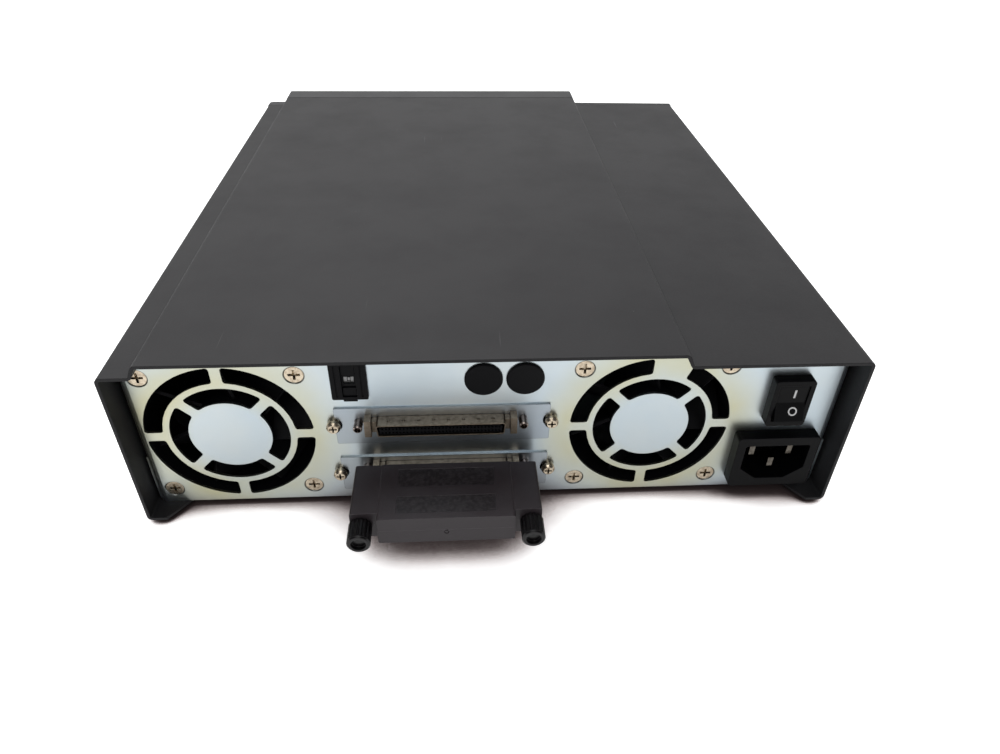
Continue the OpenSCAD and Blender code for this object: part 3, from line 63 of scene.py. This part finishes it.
def make_camera():
    pitch, yaw, roll = (math.radians(a) for a in (36.91366, 4.00587, -1.18146))
    level = Vector((-math.cos(yaw), math.sin(yaw), 0))
    ahead = Vector((-math.sin(yaw), -math.cos(yaw), 0))
    up = Vector((0, 0, 1))
    forward = ahead * math.cos(pitch) - up * math.sin(pitch)
    top = ahead * math.sin(pitch) + up * math.cos(pitch)
    right = level * math.cos(roll) - top * math.sin(roll)
    top = level * math.sin(roll) + top * math.cos(roll)
    data = bpy.data.cameras.new("camera")
    data.sensor_width = 36
    data.lens = 26.433
    data.clip_start, data.clip_end = 0.01, 30
    camera = bpy.data.objects.new("camera", data)
    rotation = Matrix((right, top, -forward)).transposed().to_4x4()
    camera.matrix_world = Matrix.Translation((0.011913, 0.317759, 0.20370)) @ rotation
    bpy.context.scene.collection.objects.link(camera)
    bpy.context.scene.camera = camera


make_camera()


# Node helpers

class Shader:
    """A node material with short ways to add and link nodes."""

    def __init__(self, name, tree=None):
        self.mat = None
        if tree is None:
            self.mat = bpy.data.materials.new(name)
            self.mat.use_nodes = True
            tree = self.mat.node_tree
        self.tree = tree
        self.bsdf = tree.nodes.get("Principled BSDF")

    def node(self, kind, inputs=(), **props):
        made = self.tree.nodes.new("ShaderNode" + kind)
        for key, value in props.items():
            setattr(made, key, value)
        for key, value in dict(inputs).items():
            self.put(made, key, value)
        return made

    def put(self, node, key, value):
        socket = node.inputs[key]
        if isinstance(value, bpy.types.NodeSocket):
            self.tree.links.new(value, socket)
        else:
            socket.default_value = value

    def set(self, **inputs):
        for key, value in inputs.items():
            self.put(self.bsdf, key.replace("_", " "), value)

    def place(self):
        return self.node("TexCoord").outputs["Object"]

    def scaled(self, scale, turn=(0, 0, 0)):
        return self.node("Mapping", {"Vector": self.place(), "Scale": scale, "Rotation": turn}).outputs[0]

    def noise(self, scale, detail=2.0, rough=0.5, at=None):
        inputs = {"Vector": at or self.place(), "Scale": scale, "Detail": detail, "Roughness": rough}
        return self.node("TexNoise", inputs).outputs["Fac"]

    def cells(self, scale):
        inputs = {"Vector": self.place(), "Scale": scale}
        return self.node("TexVoronoi", inputs).outputs["Distance"]

    def math(self, operation, a, b):
        made = self.node("Math", operation=operation)
        self.put(made, 0, a)
        self.put(made, 1, b)
        return made.outputs[0]

    def range(self, value, low, high, to_low=0.0, to_high=1.0):
        inputs = {"Value": value, "From Min": low, "From Max": high, "To Min": to_low, "To Max": to_high}
        return self.node("MapRange", inputs, clamp=True).outputs["Result"]

    def mix(self, share, a, b):
        made = self.node("Mix", data_type="RGBA")
        self.put(made, 0, share)
        self.put(made, 6, a)
        self.put(made, 7, b)
        return made.outputs[2]

    def bump(self, height, distance, strength=1.0, normal=None):
        inputs = {"Height": height, "Distance": distance, "Strength": strength}
        if normal is not None:
            inputs["Normal"] = normal
        return self.node("Bump", inputs).outputs["Normal"]

    def bevel(self, radius):
        return self.node("Bevel", {"Radius": radius}, samples=4).outputs["Normal"]

    def shade(self, distance, low, high, samples=8):
        """0 in corners and recesses and 1 where the surface is open."""
        node = self.node("AmbientOcclusion", {"Distance": distance}, samples=samples)
        return self.range(node.outputs["AO"], low, high)

    def within(self, axis, low, high, soft):
        """1 between two places along an axis of the object, 0 outside."""
        value = self.node("SeparateXYZ", {0: self.place()}).outputs[axis]
        rise = self.range(value, low - soft, low + soft)
        return self.math("MULTIPLY", rise, self.range(value, high - soft, high + soft, 1.0, 0.0))

    def edge(self, radius):
        """1 along sharp edges and 0 on flat faces."""
        normal = self.node("NewGeometry").outputs["Normal"]
        dot = self.node("VectorMath", operation="DOT_PRODUCT")
        self.put(dot, 0, self.bevel(radius))
        self.put(dot, 1, normal)
        return self.range(dot.outputs["Value"], 0.99, 0.85)


def grey(value):
    return (value, value, value, 1)


def scaled_colour(colour, factor):
    return tuple(min(1, factor * c) for c in colour[:3]) + (1,)


# Materials

def powder_coat():
    s = Shader("powder_coat")
    patches = s.range(s.noise(7, 3, 0.55), 0.35, 0.65)
    smudge = s.range(s.noise(38, 4, 0.6), 0.4, 0.75)
    grain = s.noise(1700, 2, 0.6)
    colour = s.mix(patches, (0.0150, 0.0145, 0.0162, 1), (0.0195, 0.0188, 0.0205, 1))
    colour = s.mix(s.range(grain, 0.35, 0.7, 0, 0.35), colour, (0.028, 0.0273, 0.029, 1))
    hairs = s.noise(1, 1.5, 0.4, s.scaled((900, 22, 900), (0, 0, 0.5)))
    rare = s.range(s.noise(17, 1, 0.5, s.scaled((1, 1, 1), (0.3, 0.1, 0.7))), 0.56, 0.66)
    scratch = s.math("MULTIPLY", s.range(hairs, 0.745, 0.79), rare)
    colour = s.mix(s.math("MULTIPLY", scratch, 0.4), colour, (0.11, 0.11, 0.115, 1))
    dust = s.math("MULTIPLY", s.range(s.cells(170), 0.055, 0.02), s.range(s.noise(60, 2), 0.55, 0.7))
    colour = s.mix(s.math("MULTIPLY", dust, 0.5), colour, grey(0.16))
    # Wear and painted highlight: the paint turns lighter in broken patches along sharp edges, partly chips
    # and partly a painted highlight
    wear_and_highlight = s.math("MULTIPLY", s.edge(0.0005), s.range(s.noise(260, 4, 0.7), 0.52, 0.68))
    colour = s.mix(s.math("MULTIPLY", wear_and_highlight, 0.3), colour, (0.08, 0.079, 0.08, 1))
    rough = s.math("ADD", s.range(smudge, 0, 1, 0.48, 0.55), s.range(patches, 0, 1, 0.0, 0.04))
    normal = s.bump(grain, 0.00003, 0.55, s.bevel(0.0004))
    normal = s.bump(s.noise(9, 2), 0.0006, 0.06, normal)
    s.set(Base_Color=colour, Roughness=rough, Normal=normal, Specular_IOR_Level=0.22)
    return s.mat


def zinc(name, cool, warm, grilles):
    s = Shader(name)
    cloud = s.noise(26, 4, 0.6)
    colour = s.mix(s.range(cloud, 0.35, 0.7), cool, warm)
    for u in FAN_US if grilles else ():
        # Yellow passivation between the slots of the grille
        away = s.node("VectorMath", operation="SUBTRACT")
        s.put(away, 0, s.place())
        s.put(away, 1, tuple(rear(u, FAN_Z)))
        radius = s.node("VectorMath", {0: away.outputs[0]}, operation="LENGTH").outputs["Value"]
        ring = s.math("MULTIPLY", s.range(radius, 0.012, 0.022), s.range(radius, 0.042, 0.030))
        ring = s.math("MULTIPLY", ring, s.range(s.noise(33, 3), 0.35, 0.65, 0.35, 0.85))
        colour = s.mix(ring, colour, (0.56, 0.53, 0.32, 1))
        # Painted shade: a dark ring round each of the four screws, in the gap between head and hole
        four = s.node("VectorMath", {0: away.outputs[0]}, operation="ABSOLUTE")
        offset = (FAN_SCREW_OFFSET * MM, 0, FAN_SCREW_OFFSET * MM)
        four = s.node("VectorMath", {0: four.outputs[0], 1: offset}, operation="DISTANCE").outputs["Value"]
        screw_gap_shade = s.math("MULTIPLY", s.range(four, 0.00305, 0.0032), s.range(four, 0.0037, 0.0034))
        colour = s.mix(s.math("MULTIPLY", screw_gap_shade, 0.8), colour, (0.06, 0.06, 0.055, 1))
    if not grilles:
        # Painted shade: the thin connector plates are darkened along their edges
        colour = s.mix(s.math("MULTIPLY", s.edge(0.00035), 0.75), colour, (0.05, 0.055, 0.06, 1))
    fingers = s.range(s.noise(60, 2, 0.5), 0.4, 0.75)
    grain = s.noise(1, 3, 0.6, s.scaled((60, 60, 1500)))
    rough = s.math("ADD", s.range(fingers, 0, 1, 0.31, 0.36), s.range(grain, 0.3, 0.7, 0, 0.03))
    normal = s.bump(grain, 0.00001, 0.03, s.bevel(0.0002))
    normal = s.bump(s.noise(22, 1), 0.0006, 0.04, normal)
    s.set(Base_Color=colour, Metallic=1.0, Roughness=rough, Normal=normal)
    return s.mat


def nickel(name, colour, dark, rough):
    s = Shader(name)
    stain = s.range(s.noise(700, 4, 0.6), 0.4, 0.75)
    normal = s.bump(s.noise(2600, 2), 0.00002, 0.4, s.bevel(0.00015))
    # Painted shade: the colour darkens to an eighth in recesses, such as the cross of a screw head
    shade = s.mix(s.shade(0.0008, 0.35, 0.85), scaled_colour(colour, 0.12), s.mix(stain, colour, dark))
    s.set(Base_Color=shade, Metallic=1.0, Normal=normal,
          Roughness=s.range(stain, 0, 1, rough, rough + 0.14))
    return s.mat


def plastic(name, colour, pale, rough, grain=2300, depth=0.00003, edge=0.0003, highlight_share=0.5, spec=0.5,
            patches=()):
    """Moulded plastic: a fine grain, faint marks, and a painted highlight along the edges, stronger in some
    places than others.
    """
    s = Shader(name)
    texture = s.noise(grain, 3, 0.6)
    marks = s.range(s.noise(55, 5, 0.65), 0.42, 0.75)
    shade = s.mix(s.math("MULTIPLY", marks, 0.5), colour, pale)
    # Painted highlight: sharp edges are mixed towards a much paler colour, unevenly along their length
    wear_and_highlight = s.math("MULTIPLY", s.edge(edge), s.range(s.noise(420, 4, 0.7), 0.2, 0.6, 0.35, 1))
    shade = s.mix(s.math("MULTIPLY", wear_and_highlight, highlight_share), shade, scaled_colour(pale, 2.6))
    for low, high in patches:
        # A bare label: darker and speckled
        inside = s.within("X", low[0], high[0], 0.0002)
        for axis, a, b in (("Y", low[1], high[1]), ("Z", low[2], high[2])):
            inside = s.math("MULTIPLY", inside, s.within(axis, a, b, 0.0002))
        speck = s.mix(s.range(s.noise(900, 3, 0.7), 0.4, 0.68), scaled_colour(colour, 0.35), pale)
        shade = s.mix(s.math("MULTIPLY", inside, 0.85), shade, speck)
    s.set(Base_Color=shade, Roughness=s.range(marks, 0, 1, rough, rough + 0.09), Specular_IOR_Level=spec,
          Normal=s.bump(texture, depth, 0.5, s.bevel(edge)))
    return s.mat


def board():
    s = Shader("circuit_board")
    tracks = s.node("TexBrick", {"Vector": s.place(), "Scale": 160.0, "Mortar Size": 0.02}).outputs["Fac"]
    colour = s.mix(s.range(tracks, 0, 1, 0, 0.6), (0.012, 0.075, 0.03, 1), (0.03, 0.15, 0.06, 1))
    s.set(Base_Color=colour, Roughness=s.range(s.noise(300, 3), 0.3, 0.7, 0.3, 0.42),
          Normal=s.bump(tracks, 0.00004, 0.5))
    return s.mat


def lens():
    s = Shader("lamp_lens")
    s.set(Base_Color=s.mix(s.range(s.noise(900), 0.3, 0.7), (0.10, 0.42, 0.14, 1), (0.14, 0.5, 0.18, 1)),
          Roughness=0.12, Transmission_Weight=0.5, Normal=s.bump(s.noise(1500), 0.00002, 0.2))
    return s.mat


def box_on(node_name, u0, u1, out0, out1, z0, z1):
    """A box given on the rear panel, in the object's own coordinates."""
    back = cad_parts[node_name].matrix_world.inverted()
    a, b = back @ rear(u0, z0, out0), back @ rear(u1, z1, out1)
    return tuple(tuple(pick(p, q) for p, q in zip(a, b)) for pick in (min, max))


LABELS = [box_on("terminator_top_shell", -33.5, -0.5, a, b, 21, 23) for a, b in ((8.6, 17.0), (21.5, 29.0))]
MATERIALS = {
    "cover_paint": powder_coat(),
    "zinc_sheet": zinc("zinc_sheet", (0.54, 0.62, 0.67, 1), (0.59, 0.645, 0.66, 1), True),
    "bezel_plastic": plastic("bezel_plastic", (0.022, 0.022, 0.024, 1), (0.030, 0.030, 0.032, 1),
                             0.5, spec=0.35),
    "foot_rubber": plastic("foot_rubber", grey(0.006), grey(0.010), 0.75, 1400, 0.00005, 0.0005, 0.2, 0.15),
    "nickel": nickel("nickel", (0.76, 0.69, 0.58, 1), (0.50, 0.43, 0.34, 1), 0.2),
    "black_plastic": plastic("black_plastic", (0.003, 0.003, 0.004, 1), (0.005, 0.005, 0.006, 1),
                             0.5, spec=0.12),
    "terminator_plastic": plastic("terminator_plastic", (0.034, 0.027, 0.031, 1), (0.043, 0.037, 0.041, 1),
                                  0.36, 1500, 0.00005, 0.0002, 1.0, 0.35, LABELS),
    "switch_plastic": plastic("switch_plastic", (0.0015, 0.0015, 0.002, 1), (0.003, 0.003, 0.0035, 1),
                              0.4, 2600, 0.00002, 0.0004, 1.0, 0.1),
    "pale_plastic": plastic("pale_plastic", grey(0.42), grey(0.5), 0.45, 2300, 0.00003, 0.0002, 0.0),
    "circuit_board": board(),
    "transformer_tape": plastic("transformer_tape", (0.62, 0.42, 0.07, 1), (0.7, 0.52, 0.12, 1), 0.35,
                                260, 0.00006, 0.0002, 0.0),
    "capacitor_sleeve": plastic("capacitor_sleeve", (0.02, 0.03, 0.12, 1), (0.03, 0.045, 0.15, 1), 0.25),
    "cast_alloy": nickel("cast_alloy", (0.62, 0.63, 0.65, 1), (0.45, 0.46, 0.48, 1), 0.42),
    "lamp_lens": lens(),
    "shell_metal": nickel("shell_metal", (0.29, 0.24, 0.185, 1), (0.17, 0.135, 0.10, 1), 0.3),
    "post_metal": nickel("post_metal", (0.42, 0.36, 0.33, 1), (0.22, 0.18, 0.16, 1), 0.25),
    "plate_metal": zinc("plate_metal", (0.38, 0.43, 0.48, 1), (0.42, 0.46, 0.48, 1), False),
    # Painted shade: the inlet pins get a darkened nickel, as they sit in shade inside the inlet
    "pin_metal": nickel("pin_metal", (0.16, 0.145, 0.125, 1), (0.06, 0.05, 0.04, 1), 0.12),
    "screw_metal": nickel("screw_metal", (0.66, 0.57, 0.44, 1), (0.34, 0.26, 0.18, 1), 0.24),
    "knob_plastic": plastic("knob_plastic", (0.004, 0.0035, 0.004, 1), (0.008, 0.007, 0.008, 1), 0.22, 1500,
                            0.00002, 0.0004, 1.0, 0.3),
}
NODES_OF = {
    "cover_paint": ("top_cover",),
    "zinc_sheet": ("chassis_tray", "drive_lid", "cartridge_carrier", "left_bracket", "right_bracket"),
    "bezel_plastic": ("front_bezel", "drive_fascia", "tape_door"),
    "foot_rubber": ("rear_left_foot", "rear_right_foot", "front_left_foot", "front_right_foot"),
    "nickel": ("cover_screws", "terminator_pins", "supply_standoffs", "chassis_screws"),
    "black_plastic": ("left_fan_frame", "left_fan_impeller", "right_fan_frame", "right_fan_impeller",
                      "upper_socket_insert", "lower_socket_insert", "id_switch_housing", "id_button_up",
                      "id_button_down", "left_hole_plug", "right_hole_plug", "terminator_pin_block",
                      "supply_hub", "take_up_reel"),
    "terminator_plastic": ("terminator_top_shell", "terminator_bottom_shell"),
    "switch_plastic": ("power_switch_body", "power_rocker", "inlet_body"),
    "pale_plastic": ("id_wheel", "eject_button"),
    "circuit_board": ("terminator_board", "supply_board", "drive_board"),
    "transformer_tape": ("supply_transformer",),
    "capacitor_sleeve": ("supply_capacitors",),
    "cast_alloy": ("supply_heatsink", "drive_chassis", "head_carriage"),
    "lamp_lens": ("activity_lights", "power_light"),
    "shell_metal": ("upper_socket_shell", "lower_socket_shell", "terminator_plug_shell"),
    "post_metal": ("jack_posts",),
    "plate_metal": ("upper_plate", "lower_plate"),
    "pin_metal": ("inlet_pins",),
    "screw_metal": ("fan_screws", "plate_screws"),
    "knob_plastic": ("left_thumbscrew", "right_thumbscrew"),
}


def paint(obj, material):
    obj.data.materials.clear()
    obj.data.materials.append(material)


for material_name, node_names in NODES_OF.items():
    for node_name in node_names:
        paint(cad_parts[node_name], MATERIALS[material_name])


# Floor, backdrop and light

def make_floor():
    data = bpy.data.meshes.new("floor")
    half = 4.0
    corners = [(-half, -half, 0), (half, -half, 0), (half, half, 0), (-half, half, 0)]
    data.from_pydata(corners, [], [(0, 1, 2, 3)])
    floor = bpy.data.objects.new("floor", data)
    bpy.context.scene.collection.objects.link(floor)
    s = Shader("floor_white")
    tree = s.tree
    output = tree.nodes["Material Output"]
    seen = s.node("LightPath")
    # The floor's paint and glow both fade close to the object, which gives a tight contact shadow
    open_floor = s.math("MULTIPLY", s.shade(0.010, 0.4, 0.72, 16),
                        s.range(s.shade(0.03, 0.38, 0.64, 16), 0, 1, 0.03, 1.0))
    tone = s.mix(open_floor, (1.0, 0.78, 0.76, 1), (1, 1, 1, 1))
    colour = s.mix(open_floor, (0.07, 0.05, 0.05, 1), grey(0.86))
    s.set(Base_Color=colour, Roughness=0.9, Specular_IOR_Level=0.1)
    glow = s.math("ADD", s.math("MULTIPLY", seen.outputs["Is Camera Ray"], 0.85),
                  s.math("MULTIPLY", seen.outputs["Is Glossy Ray"], 0.45))
    glow = s.node("Emission", {"Color": tone, "Strength": s.math("MULTIPLY", glow, open_floor)})
    both = s.node("AddShader")
    tree.links.new(s.bsdf.outputs[0], both.inputs[0])
    tree.links.new(glow.outputs[0], both.inputs[1])
    tree.links.new(both.outputs[0], output.inputs["Surface"])
    floor.data.materials.append(s.mat)


def make_world():
    world = bpy.data.worlds.new("studio")
    bpy.context.scene.world = world
    world.use_nodes = True
    s = Shader("studio", world.node_tree)
    back = world.node_tree.nodes["Background"]
    path = s.node("LightPath")
    # The room behind the object is dim
    way = s.node("SeparateXYZ", {0: s.node("TexCoord").outputs["Generated"]})
    room = s.math("MULTIPLY", s.range(way.outputs["Y"], -0.1, 0.25), s.range(way.outputs["Z"], 0.0, 0.12))
    seen = s.math("MAXIMUM", path.outputs["Is Camera Ray"], path.outputs["Is Transmission Ray"])
    glossy = s.math("MULTIPLY", path.outputs["Is Glossy Ray"], s.range(room, 0, 1, 1.0, 0.06))
    other = s.math("MULTIPLY", s.range(room, 0, 1, 0.5, 0.4),
                   s.math("SUBTRACT", 1.0, s.math("MAXIMUM", seen, path.outputs["Is Glossy Ray"])))
    s.put(back, "Color", (1, 1, 1, 1))
    s.put(back, "Strength", s.math("ADD", seen, s.math("ADD", glossy, other)))


def area_light(name, place, target, size, power, colour=(1, 1, 1)):
    data = bpy.data.lights.new(name, "AREA")
    data.shape = "RECTANGLE"
    data.size, data.size_y = size
    data.energy = power
    data.color = colour
    light = bpy.data.objects.new(name, data)
    light.location = place
    light.rotation_mode = "QUATERNION"
    light.rotation_quaternion = (Vector(target) - Vector(place)).to_track_quat("-Z", "Y")
    bpy.context.scene.collection.objects.link(light)


make_floor()
make_world()
area_light("key", (0.25, -0.45, 1.05), (0, -0.02, 0), (0.9, 0.7), 7.5)
area_light("fill", (0.1, 1.1, 1.2), (0, 0.1, 0.05), (0.9, 0.7), 4)

view = bpy.context.scene.view_settings
view.view_transform = "Standard"


# Small pieces that the CAD solids leave to this script

def mesh_piece(name, parts, material, body, matrix=Matrix.Identity(4)):
    """One piece from (vertices, faces) parts in millimetres, placed by matrix."""
    bm = bmesh.new()
    for vertices, faces in parts:
        made = [bm.verts.new(v) for v in vertices]
        for face in faces:
            bm.faces.new([made[i] for i in face])
    bmesh.ops.recalc_face_normals(bm, faces=bm.faces)
    data = bpy.data.meshes.new(name)
    bm.transform(matrix @ Matrix.Scale(MM, 4))
    bm.to_mesh(data)
    bm.free()
    obj = bpy.data.objects.new(name, data)
    bpy.context.scene.collection.objects.link(obj)
    obj.data.materials.append(material)
    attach(obj, body)
    return obj


def prism(outline, z0, z1, hole=None):
    """Vertices and faces of an extruded outline, or of the band between an outline and a hole."""
    n = len(outline)
    vertices = [(x, y, z0) for x, y in outline] + [(x, y, z1) for x, y in outline]
    faces = [(i, (i + 1) % n, n + (i + 1) % n, n + i) for i in range(n)]
    if hole is None:
        return vertices, faces + [tuple(range(n)), tuple(range(n, 2 * n))]
    vertices += [(x, y, z0) for x, y in hole] + [(x, y, z1) for x, y in hole]
    faces += [(2 * n + i, 2 * n + (i + 1) % n, 3 * n + (i + 1) % n, 3 * n + i) for i in range(n)]
    for a, b in ((0, 2 * n), (n, 3 * n)):
        faces += [(a + i, a + (i + 1) % n, b + (i + 1) % n, b + i) for i in range(n)]
    return vertices, faces


def circle(radius, at, count=40):
    turns = (2 * math.pi * i / count for i in range(count))
    return [(at[0] + radius * math.cos(turn), at[1] + radius * math.sin(turn)) for turn in turns]


def rectangle(width, height, at):
    w, h = width / 2, height / 2
    return [(at[0] + x, at[1] + y) for x, y in ((-w, -h), (w, -h), (w, h), (-w, h))]


white_print = plastic("white_print", grey(0.72), grey(0.8), 0.5, 2600, 0.00001, 0.0001, 0.0)


def rocker_marks():
    """The bar and the ring on the rocker's two faces, at rest with its lower face out."""
    slope = math.atan2(ROCKER_RISE, ROCKER_HALF)
    tilt = Matrix.Rotation(math.radians(ROCKER_REST_TILT), 4, "X")
    hub = rear_matrix(SWITCH_U, SWITCH_Z, ROCKER_PIVOT_OUT)
    lift = Matrix.Translation((0, 0, ROCKER_LIFT * MM))
    ring_at = (1.0, -3.3)
    bar = prism(rectangle(0.7, 3.4, (0.7, 3.7)), -0.05, 0.06)
    ring = prism(circle(1.6, ring_at), -0.05, 0.06, circle(1.1, ring_at))
    for name, side, part in (("rocker_mark_bar", 1, bar), ("rocker_mark_ring", -1, ring)):
        face = Matrix.Rotation(side * slope, 4, "X")
        mesh_piece(name, [part], white_print, "rocker", hub @ tilt @ lift @ face)


rocker_marks()


def wheel_digits():
    """Digits 0 to 7 round the identity switch's wheel, as thin strokes."""
    # Width and half height of a digit, and thickness of a stroke
    w, h, t = 0.95, 0.75, 0.24
    strokes = {"a": (0, h, w, t), "g": (0, 0, w, t), "d": (0, -h, w, t), "b": (w / 2, h / 2, t, h),
               "c": (w / 2, -h / 2, t, h), "f": (-w / 2, h / 2, t, h), "e": (-w / 2, -h / 2, t, h)}
    figures = ("abcdef", "bc", "abged", "abgcd", "fgbc", "afgcd", "afgedc", "abc")
    ink = plastic("digit_ink", grey(0.03), grey(0.05), 0.5, 2600, 0.00001, 0.0001, 0.0)
    parts = []
    for i, figure in enumerate(figures):
        turn = Matrix.Rotation(math.radians(-45 * i), 4, "X") @ Matrix.Translation((0, 0, WHEEL_R))
        for stroke in figure:
            x, y, sx, sy = strokes[stroke]
            vertices, faces = prism(rectangle(sx + t * (sx > t), sy + t * (sy > t), (x, y)), -0.16, 0.04)
            parts.append(([turn @ Vector(v) for v in vertices], faces))
    mesh_piece("wheel_digits", parts, ink, "digit_wheel",
               rear_matrix(WHEEL_U, WHEEL_Z, WHEEL_OUT))


wheel_digits()
